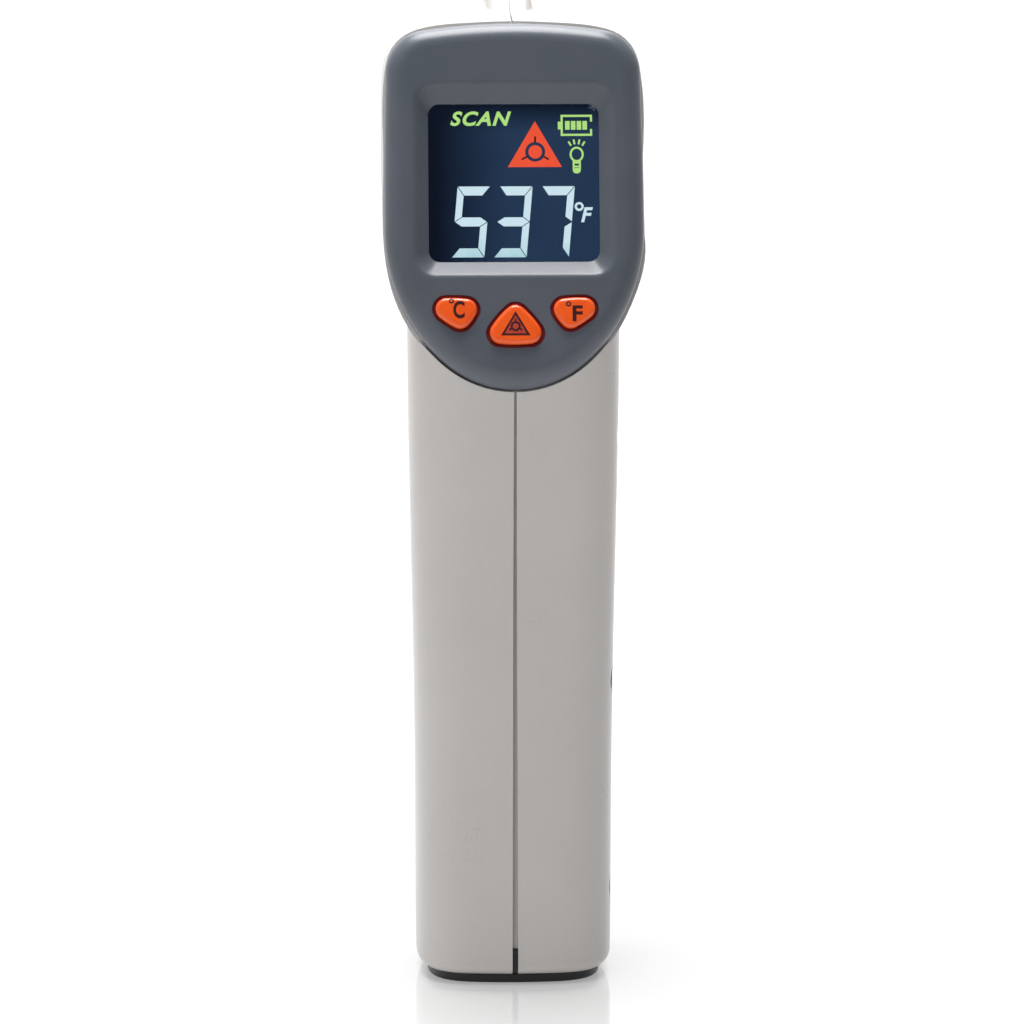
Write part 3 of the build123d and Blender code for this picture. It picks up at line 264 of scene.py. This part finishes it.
def make_materials():
    """One finish for each of the record's material slots."""
    lcd_lo, lcd_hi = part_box("lcd_panel")
    cell_lo, cell_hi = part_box("battery_1")
    steel = {"Metallic": 1.0}
    clear = {"Transmission Weight": 1.0, "IOR": 1.49}
    white = srgb(194, 190, 187), srgb(200, 196, 193)
    return {
        "casing": moulded(
            "white_abs", *white, (0.27, 0.33), 0.35, 0.0022, 22.0, **{"Coat Weight": 0.12}
        ),
        "slate_plastic": moulded(
            "slate_abs", srgb(82, 88, 97), srgb(89, 94, 103), (0.28, 0.35), 0.3, 0.003
        ),
        "foot_plastic": moulded(
            "black_foot", srgb(22, 23, 26), srgb(32, 33, 36), (0.35, 0.5), 0.3, 0.006
        ),
        "door_plastic": moulded(
            "white_door", *white, (0.3, 0.37), 0.3, 0.0035, 18.0, **{"Coat Weight": 0.08}
        ),
        "key_plastic": moulded(
            "orange_key", srgb(240, 84, 24), srgb(249, 98, 34), (0.2, 0.27), 0.3, 0.0015, 6.0,
            **{"Coat Weight": 0.4, "Coat Roughness": 0.12},
        ),
        "trigger_plastic": moulded(
            "slate_trigger", srgb(84, 88, 97), srgb(94, 98, 106), (0.38, 0.47), 0.3, 0.005
        ),
        # Painted shade: the keypad mat stands for the keys' orange rubber, coloured dark maroon for the shade in
        # the gaps around the keys.
        "key_rubber": moulded(
            "keypad_mat_painted_shade", srgb(112, 10, 22), srgb(130, 16, 28), (0.5, 0.62), 0.2, 0.006
        ),
        "window_clear": moulded(
            "clear_window", (0.86, 0.9, 0.95), (0.9, 0.94, 0.98), (0.0, 0.015), 1.0, 0.0, **clear
        ),
        "lcd_glass": display_glass("lcd_glass", srgb(1, 10, 27), srgb(35, 56, 83), lcd_lo, lcd_hi),
        "light_guide": moulded("light_guide", (0.8,) * 3, (0.95,) * 3, (0.3, 0.4), 0.6, 0.02),
        "frame_plastic": moulded("white_frame", srgb(214, 214, 210), srgb(228, 228, 224), (0.4, 0.5)),
        "strip_rubber": striped(
            "zebra_strip", srgb(196, 200, 204), srgb(24, 24, 26), "X", 0.5, 0.5, (0.5, 0.65)
        ),
        "circuit_board": circuit("solder_mask"),
        "component_black": moulded(
            "black_epoxy", srgb(22, 22, 24), srgb(38, 38, 40), (0.45, 0.6), 0.15, 0.006, 3.0
        ),
        "socket_plastic": moulded(
            "cream_nylon", srgb(214, 206, 186), srgb(230, 222, 204), (0.4, 0.5), 0.3, 0.004
        ),
        "switch_metal": moulded(
            "switch_can", (0.6, 0.6, 0.6), (0.74, 0.74, 0.73), (0.25, 0.38), 0.2, 0.003, **steel
        ),
        "screw_steel": moulded(
            "zinc_screw", (0.5, 0.51, 0.54), (0.66, 0.67, 0.7), (0.26, 0.4), 0.25, 0.004, **steel
        ),
        "spring_steel": moulded(
            "spring_wire", (0.5, 0.5, 0.5), (0.68, 0.68, 0.67), (0.2, 0.34), 0.15, 0.003, 4.0, **steel
        ),
        "contact_metal": moulded(
            "nickel_plate", (0.62, 0.59, 0.53), (0.74, 0.71, 0.66), (0.2, 0.34), 0.3, 0.003, 5.0, **steel
        ),
        "sensor_can": moulded(
            "sensor_can", (0.6, 0.58, 0.54), (0.75, 0.72, 0.66), (0.2, 0.3), 0.2, 0.002, **steel
        ),
        "tube_plastic": moulded(
            "black_tube", srgb(20, 20, 22), srgb(30, 30, 32), (0.5, 0.62), 0.25, 0.006
        ),
        "lens_plastic": moulded(
            "frosted_lens", srgb(196, 200, 204), srgb(218, 222, 226), (0.35, 0.45), 0.4, 0.004
        ),
        "retainer_metal": moulded(
            "brushed_ring", (0.55, 0.56, 0.57), (0.7, 0.71, 0.72), (0.28, 0.4), 0.2, 0.003, 5.0,
            (1, 0.1, 1), **steel,
        ),
        "laser_brass": moulded(
            "brass", (0.62, 0.42, 0.16), (0.76, 0.55, 0.25), (0.22, 0.36), 0.25, 0.003, **steel
        ),
        "laser_clear": moulded(
            "laser_clear", (0.85, 0.35, 0.3), (0.95, 0.45, 0.4), (0.02, 0.05), 1.0, 0.0, **clear
        ),
        "tray_plastic": moulded(
            "grey_tray", srgb(60, 62, 66), srgb(74, 76, 80), (0.42, 0.54), 0.3, 0.006
        ),
        "cell_sleeve": cell_sleeve("cell_sleeve", cell_lo, cell_hi),
        "ribbon_film": striped(
            "ribbon_film", srgb(168, 92, 26), srgb(206, 134, 62), "X", 1.0, 0.55, (0.25, 0.4)
        ),
        "lead_red": moulded(
            "red_pvc", srgb(150, 16, 16), srgb(184, 24, 22), (0.32, 0.45), 0.3, 0.006, 3.0
        ),
        "lead_black": moulded(
            "black_pvc", srgb(20, 20, 22), srgb(36, 36, 38), (0.32, 0.45), 0.3, 0.006, 3.0
        ),
    }


# ---------------------------------------------------------------- the display face


def face_box(node):
    """Lowest and highest corner of a CAD node across, up and out of the tilted face, in millimetres."""
    points = [vertex.co for vertex in NODES[node].data.vertices]
    spans = [[point.dot(axis) / MM for point in points] for axis in (ACROSS, UP, OUT)]
    return Vector(map(min, spans)), Vector(map(max, spans))


def face_matrix(across, up, out):
    """Places a drawing made in millimetres, centred on a point of the tilted face."""
    origin = (ACROSS * across + UP * up + OUT * out) * MM
    turn = Matrix((ACROSS, UP, OUT)).transposed().to_4x4()
    return Matrix.Translation(origin) @ turn @ Matrix.Scale(MM, 4)


def circle(x, y, wide, tall=None, points=40):
    """A closed ellipse."""
    angles = [2 * math.pi * step / points for step in range(points)]
    return [(x + wide * math.cos(angle), y + (tall or wide) * math.sin(angle)) for angle in angles]


def rectangle(left, bottom, right, top):
    return [(left, bottom), (right, bottom), (right, top), (left, top)]


def stroke(start, end, width):
    """A straight bar between two points."""
    start, end = Vector(start), Vector(end)
    along = (end - start).normalized()
    side = Vector((-along.y, along.x)) * width / 2
    return [tuple(point) for point in (start - side, end - side, end + side, start + side)]


def ring(x, y, outer, inner):
    return [circle(x, y, outer), circle(x, y, inner)]


def ring_with_ticks(x, y, outer, inner, reach, width):
    """A ring with three short rays, one up and two down to the sides."""
    shapes = [ring(x, y, outer, inner)]
    for degrees in (90, 210, 330):
        ray = Vector((math.cos(math.radians(degrees)), math.sin(math.radians(degrees))))
        centre = Vector((x, y))
        shapes.append([stroke(centre + ray * (outer - 0.05), centre + ray * reach, width)])
    return shapes


def flat_mesh(name, outlines, thickness):
    """A thin plate with the given outlines; an outline inside another is a hole."""
    curve = bpy.data.curves.new(name, "CURVE")
    curve.dimensions = "2D"
    curve.fill_mode = "BOTH"
    curve.extrude = thickness / 2
    for outline in outlines:
        spline = curve.splines.new("POLY")
        spline.points.add(len(outline) - 1)
        for point, (x, y) in zip(spline.points, outline):
            point.co = (x, y, 0, 1)
        spline.use_cyclic_u = True
    return evaluated(name, curve)


def evaluated(name, curve):
    """The mesh of a curve or text, and nothing left of the curve."""
    drawing = bpy.data.objects.new(name, curve)
    bpy.context.scene.collection.objects.link(drawing)
    bpy.context.view_layer.update()
    mesh = bpy.data.meshes.new_from_object(drawing.evaluated_get(bpy.context.evaluated_depsgraph_get()))
    bpy.data.objects.remove(drawing)
    bpy.data.curves.remove(curve)
    return mesh


def letters(name, text, box, slant=0.0, bold=0.02, spacing=1.0):
    """Lettering stretched to fill a box (left, bottom, right, top)."""
    curve = bpy.data.curves.new(name, "FONT")
    curve.body = text
    curve.shear = slant
    curve.offset = bold
    curve.space_character = spacing
    curve.extrude = 0.1
    mesh = evaluated(name, curve)
    xs = [vertex.co.x for vertex in mesh.vertices]
    ys = [vertex.co.y for vertex in mesh.vertices]
    zs = [vertex.co.z for vertex in mesh.vertices]
    left, bottom, right, top = box
    wide = (right - left) / (max(xs) - min(xs))
    tall = (top - bottom) / (max(ys) - min(ys))
    for vertex in mesh.vertices:
        vertex.co.x = left + (vertex.co.x - min(xs)) * wide
        vertex.co.y = bottom + (vertex.co.y - min(ys)) * tall
        vertex.co.z = (vertex.co.z - min(zs)) / (max(zs) - min(zs)) * PRINT_THICKNESS - PRINT_THICKNESS / 2
    return mesh


def laid_on(whole, node):
    """Moves a drawing's points in or out along the face's direction, onto a node's surface below them."""
    surface = NODES[node]
    level = face_box(node)[1].z * MM
    for vertex in whole.verts:
        above = vertex.co + OUT * RAY_START * MM
        hit, where, _, _ = surface.ray_cast(above, -OUT)
        if hit:
            vertex.co += OUT * (where.dot(OUT) - level)


def drawing(name, body, slot, material, place, shapes=(), meshes=(), under=None):
    """A thin printed or lit piece made of shapes, each a list of outlines, and of ready meshes."""
    whole = bmesh.new()
    plates = [flat_mesh(name, shape, PRINT_THICKNESS) for shape in shapes]
    for mesh in [*plates, *meshes]:
        whole.from_mesh(mesh)
        bpy.data.meshes.remove(mesh)
    bmesh.ops.remove_doubles(whole, verts=whole.verts, dist=PRINT_THICKNESS / 20)
    whole.transform(place)
    if under:
        bmesh.ops.subdivide_edges(whole, edges=whole.edges, cuts=1)
        laid_on(whole, under)
    mesh = bpy.data.meshes.new(name)
    whole.to_mesh(mesh)
    whole.free()
    return piece(name, mesh, body, material)


def piece(name, mesh, body, material):
    """A mesh as a named piece that rides on a body and takes the given finish."""
    mesh.materials.clear()
    mesh.materials.append(material)
    made = bpy.data.objects.new(name, mesh)
    bpy.context.scene.collection.objects.link(made)
    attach(made, body)
    return made


def segment_outlines():
    """The seven segments of one digit, from its lower left corner."""
    width, height, gap = DIGIT_WIDTH, DIGIT_HEIGHT, SEGMENT_GAP
    tall, wide, middle = SEGMENT_TALL, SEGMENT_WIDE, DIGIT_HEIGHT / 2
    top = [
        (gap, height),
        (width - gap, height),
        (width - wide - gap, height - tall),
        (wide + gap, height - tall),
    ]
    upper = [
        (0, height - gap),
        (wide, height - tall - gap),
        (wide, middle + tall / 2 + gap),
        (0, middle + gap),
    ]
    bar = [
        (gap, middle),
        (wide + gap, middle + tall / 2),
        (width - wide - gap, middle + tall / 2),
        (width - gap, middle),
        (width - wide - gap, middle - tall / 2),
        (wide + gap, middle - tall / 2),
    ]

    def across(outline):
        return [(width - x, y) for x, y in outline]

    def down(outline):
        return [(x, height - y) for x, y in outline]

    return {
        "a": top, "b": across(upper), "c": down(across(upper)), "d": down(top),
        "e": down(upper), "f": upper, "g": bar,
    }


def digit(lit_segments, index):
    """The lit segments of the digit at an index, slanted, on the display."""
    outlines = segment_outlines()
    left, bottom = DIGIT_ORIGIN
    return [
        [(left + index * DIGIT_PITCH + x + DIGIT_SLANT * y, bottom + y) for x, y in outlines[segment]]
        for segment in lit_segments
    ]


def bulb_shapes():
    """A small lamp symbol with four rays."""
    x, y = 9.85, 5.12
    shapes = [[circle(x, y, 1.12, 1.24), circle(x, y, 0.8, 0.92)]]
    shapes += [[stroke((x + side * 0.5, y - 1.0), (x + side * 0.5, y - 2.5), 0.3)] for side in (-1, 1)]
    shapes += [[stroke((x - 0.6, y - drop), (x + 0.6, y - drop), 0.28)] for drop in (1.35, 1.95)]
    shapes.append([circle(x, y - 2.62, 0.62, 0.45)])
    for degrees in (122, 101, 79, 58):
        ray = Vector((math.cos(math.radians(degrees)), math.sin(math.radians(degrees))))
        centre = Vector((x, y))
        shapes.append([stroke(centre + ray * 1.65, centre + ray * 2.45, 0.3)])
    return shapes


def battery_shapes():
    """A battery symbol: an outline open at one side, its terminal and four charge bars."""
    left, right, bottom, top, line = 7.35, 12.35, 8.1, 11.5, 0.34
    shapes = [
        [rectangle(left, top - line, right, top)],
        [rectangle(left, bottom, right, bottom + line)],
        [rectangle(left, bottom, left + line, top)],
        [rectangle(right - line, bottom, right, bottom + 1.1)],
        [rectangle(right - line, top - 1.1, right, top)],
        [rectangle(left - 0.45, 9.15, left, 10.4)],
    ]
    shapes += [[rectangle(8.05 + 0.92 * bar, 9.1, 8.78 + 0.92 * bar, 10.5)] for bar in range(4)]
    return shapes


def display_graphics():
    """Everything the LCD shows, just above its front glass."""
    lo, hi = face_box("lcd_panel")
    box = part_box("lcd_panel")
    low, high = box[0].z, box[1].z
    level = hi.z + PRINT_LIFT + PRINT_THICKNESS / 2
    right, rise = DISPLAY_SHIFT
    place = face_matrix((lo.x + hi.x) / 2 + right, (lo.y + hi.y) / 2 + rise, level)
    ice = lit("lit_white", srgb(150, 205, 210), srgb(216, 238, 243), (low, (low + high) / 2))
    green = lit("lit_green", srgb(160, 215, 105), srgb(186, 234, 128), (low, high))
    orange = lit("lit_orange", srgb(248, 92, 52), srgb(252, 84, 48), (low, high))
    drawing("digit_5", "housing", "lcd_glass", ice, place, [[shape] for shape in digit("afgcd", 0)])
    drawing("digit_3", "housing", "lcd_glass", ice, place, [[shape] for shape in digit("abgcd", 1)])
    drawing("digit_7", "housing", "lcd_glass", ice, place, [[shape] for shape in digit("abc", 2)])
    scan = letters("scan", "SCAN", (-10.2, 9.75, -0.5, 12.1), 0.3, 0.032, 1.15)
    drawing("scan_word", "housing", "lcd_glass", green, place, meshes=[scan])
    drawing("battery_symbol", "housing", "lcd_glass", green, place, battery_shapes())
    drawing("lamp_symbol", "housing", "lcd_glass", green, place, bulb_shapes())
    unit = letters("unit", "F", (10.45, -5.8, 12.35, -3.4), 0.25, 0.03)
    drawing("unit_symbol", "housing", "lcd_glass", ice, place, [ring(10.17, -3.28, 0.72, 0.36)], [unit])
    mark = [
        [(-1.1, 3.1), (7.5, 3.1), (3.25, 10.5)],
        circle(3.27, 5.55, 1.58),
    ]
    inner = [[circle(3.27, 5.55, 1.08)]]
    drawing("laser_symbol", "housing", "lcd_glass", orange, place, [mark, *inner])
    dark = moulded("dark_segment", srgb(10, 18, 36), srgb(16, 26, 46), (0.3, 0.4))
    ticks = ring_with_ticks(3.27, 5.55, 1.56, 1.1, 2.5, 0.28)[1:]
    raised = place @ Matrix.Translation((0, 0, PRINT_THICKNESS / 3))
    drawing("laser_symbol_rays", "housing", "lcd_glass", dark, raised, ticks)


def key_prints():
    """The symbols on the three keys, laid over them; places are measured from the face's top centre."""
    ink = moulded("maroon_ink", srgb(44, 4, 12), srgb(58, 8, 18), (0.5, 0.6), 0.2, 0.002, 2.0)
    shade = moulded("key_shade", srgb(176, 62, 48), srgb(190, 72, 54), (0.25, 0.32), 0.2, 0.002, 3.0)
    top = face_box("display_bezel")[1].y

    def printed(name, key, material, shapes, meshes=(), sunk=0.0):
        node = key + "_key"
        place = face_matrix(0, top, face_box(node)[1].z - sunk)
        drawing(name, key + "_button", "key_plastic", material, place, shapes, meshes, node)

    c = letters("c", "C", (-9.83, -48.05, -8.03, -45.25), 0.0, 0.03)
    printed("celsius_print", "celsius", ink, [ring(-10.1, -45.24, 0.42, 0.2)], [c])
    f = letters("f", "F", (9.0, -48.6, 10.6, -46.05), 0.0, 0.03)
    printed("fahrenheit_print", "fahrenheit", ink, [ring(8.36, -45.82, 0.42, 0.2)], [f])
    outer = [(-2.33, -50.8), (2.33, -50.8), (0.0, -46.95)]
    inner = [(-1.75, -50.48), (1.75, -50.48), (0.0, -47.57)]
    symbol = ring_with_ticks(0.0, -49.33, 0.8, 0.48, 1.2, 0.28)
    printed("laser_print", "laser", ink, [[outer, inner], *symbol])
    printed("laser_print_ground", "laser", shade, [[inner]], sunk=PRINT_THICKNESS / 3)


# ---------------------------------------------------------------- springs


def coil_points(start, end, radii, turns, wire, per_turn=24):
    """A helix from start to end, from one radius to another, with a closed turn at each end."""
    axis = (end - start).normalized()
    side = axis.orthogonal().normalized()
    other = axis.cross(side)
    length = (end - start).length - 2 * wire
    steps = turns * per_turn
    points = []
    for step in range(steps + 1):
        turn = step / per_turn
        climb = min(max((turn - CLOSED_TURNS) / (turns - 2 * CLOSED_TURNS), 0.0), 1.0)
        flat = wire * (min(turn, CLOSED_TURNS) - max(0.0, turns - CLOSED_TURNS - turn)) / CLOSED_TURNS
        share = step / steps
        radius = radii[0] * (1 - share) + radii[1] * share
        angle = 2 * math.pi * turn
        along = wire + length * climb * OPEN_RISE + (flat + wire) * CLOSED_RISE
        points.append(start + axis * along + (side * math.cos(angle) + other * math.sin(angle)) * radius)
    return points


def wire_mesh(name, points, radius):
    """A round wire through points."""
    curve = bpy.data.curves.new(name, "CURVE")
    curve.dimensions = "3D"
    curve.bevel_depth = radius
    curve.bevel_resolution = 3
    curve.use_fill_caps = True
    spline = curve.splines.new("POLY")
    spline.points.add(len(points) - 1)
    for target, point in zip(spline.points, points):
        target.co = (*point, 1)
    mesh = evaluated(name, curve)
    mesh.shade_smooth()
    return mesh


def trigger_spring(material):
    """The trigger's compression spring, as a fixed coil of wire on the housing; the real spring shortens as the
    trigger is pulled.
    """
    lo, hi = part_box("trigger_spring")
    centre = (lo + hi) / 2
    wire = 0.2 * MM
    radius = (hi.z - lo.z) / 2 - wire
    start = Vector((centre.x, lo.y, centre.z))
    end = Vector((centre.x, hi.y, centre.z))
    points = coil_points(start, end, (radius, radius), 8, wire)
    mesh = wire_mesh("trigger_spring_wire", points, wire)
    spring = piece("trigger_spring_wire", mesh, "housing", material)
    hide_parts("trigger_spring")
    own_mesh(spring)


def battery_springs(material):
    """The two conical springs, each wide where it sits in the tray and narrow where it meets a cell."""
    middle = sum((corner.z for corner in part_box("battery_tray")), 0.0) / 2
    wire = 0.3 * MM
    whole = bmesh.new()
    for side in (-1, 1):
        points = [vertex.co for vertex in NODES["battery_springs"].data.vertices if vertex.co.x * side > 0]
        lo = Vector([min(point[axis] for point in points) for axis in range(3)])
        hi = Vector([max(point[axis] for point in points) for axis in range(3)])
        centre = (lo + hi) / 2
        seat, tip = (lo.z, hi.z) if centre.z < middle else (hi.z, lo.z)
        start, end = centre.copy(), centre.copy()
        start.z, end.z = seat, tip
        wide = (hi.x - lo.x) / 2 - wire
        coil = wire_mesh("coil", coil_points(start, end, (wide, wide * 0.55), 5, wire), wire)
        whole.from_mesh(coil)
        bpy.data.meshes.remove(coil)
    mesh = bpy.data.meshes.new("battery_spring_wires")
    whole.to_mesh(mesh)
    whole.free()
    mesh.shade_smooth()
    springs = piece("battery_spring_wires", mesh, "housing", material)
    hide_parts("battery_springs")


# ---------------------------------------------------------------- studio


def make_floor():
    """A broad glossy white table."""
    mesh = bpy.data.meshes.new("floor")
    half = 6.0
    corners = [(-half, -half, 0), (half, -half, 0), (half, half, 0), (-half, half, 0)]
    mesh.from_pydata(corners, [], [(0, 1, 2, 3)])
    glow = {"IOR": 1.45, "Emission Color": (1, 1, 1, 1), "Emission Strength": 0.3}
    grey, pale = (0.36,) * 3, (0.38,) * 3
    mesh.materials.append(moulded("white_table", grey, pale, (0.03, 0.05), 1.0, 0.0, 300.0, **glow))
    floor = bpy.data.objects.new("floor", mesh)
    bpy.context.scene.collection.objects.link(floor)


def softbox(name, place, target, size, power, mirrored=True):
    """A rectangular lamp aimed at a point, unseen itself and, unless mirrored, in reflections too."""
    lamp = bpy.data.lights.new(name, "AREA")
    lamp.shape = "RECTANGLE"
    lamp.size, lamp.size_y = size
    lamp.energy = power
    holder = bpy.data.objects.new(name, lamp)
    bpy.context.scene.collection.objects.link(holder)
    holder.visible_camera = False
    holder.visible_glossy = mirrored
    holder.location = place
    holder.rotation_euler = (Vector(target) - Vector(place)).to_track_quat("-Z", "Y").to_euler()


def make_light():
    """A bright studio behind and beside the object, darker on the camera's side, and three softboxes."""
    world = bpy.data.worlds.new("studio")
    bpy.context.scene.world = world
    world.use_nodes = True
    tree = world.node_tree
    axes = add(tree, "SeparateXYZ", {"Vector": add(tree, "TexCoord").outputs["Generated"]})
    leaning = math_node(tree, "MULTIPLY_ADD", axes.outputs["X"], -0.3, axes.outputs["Y"])
    depth = spread(tree, leaning, -1.0, 1.0)
    tones = {0.0: 0.05, 0.2: 0.07, 0.5: 0.5, 0.75: 0.66, 0.95: 1.12}      # from the camera's side back
    greys = [(place, (tone,) * 3) for place, tone in tones.items()]
    tree.links.new(ramp(tree, depth, greys), tree.nodes["Background"].inputs["Color"])
    softbox("overhead", (-0.05, 0.15, 1.2), (0, 0, 0), (0.7, 0.8), 22.0)
    softbox("backlight", (0.0, 1.0, 1.1), (0, 0.2, 0), (0.9, 0.9), 7.0)
    softbox("key", (-0.5, -1.25, 0.12), (0, 0, 0.08), (1.0, 0.8), 7.9, mirrored=False)


def make_camera():
    azimuth, elevation = math.radians(CAMERA_AZIMUTH), math.radians(CAMERA_ELEVATION)
    flat = math.cos(elevation)
    back = Vector((math.sin(azimuth) * flat, -math.cos(azimuth) * flat, math.sin(elevation)))
    lens = bpy.data.cameras.new("camera")
    lens.lens = LENS
    lens.sensor_width = SENSOR
    lens.clip_start = 0.05
    camera = bpy.data.objects.new("camera", lens)
    bpy.context.scene.collection.objects.link(camera)
    camera.location = CAMERA_AIM + back * CAMERA_DISTANCE
    camera.rotation_euler = (-back).to_track_quat("-Z", "Y").to_euler()
    bpy.context.scene.camera = camera
    bpy.context.scene.view_settings.view_transform = "Standard"


# ---------------------------------------------------------------- the scene

materials = make_materials()
for part in frame["record"]["subparts"]:
    for slot in NODES[part["node"]].material_slots:
        slot.material = materials[part["material_slot"]]

display_graphics()
key_prints()
trigger_spring(materials["spring_steel"])
battery_springs(materials["contact_metal"])
make_floor()
make_light()
make_camera()

bpy.context.view_layer.update()
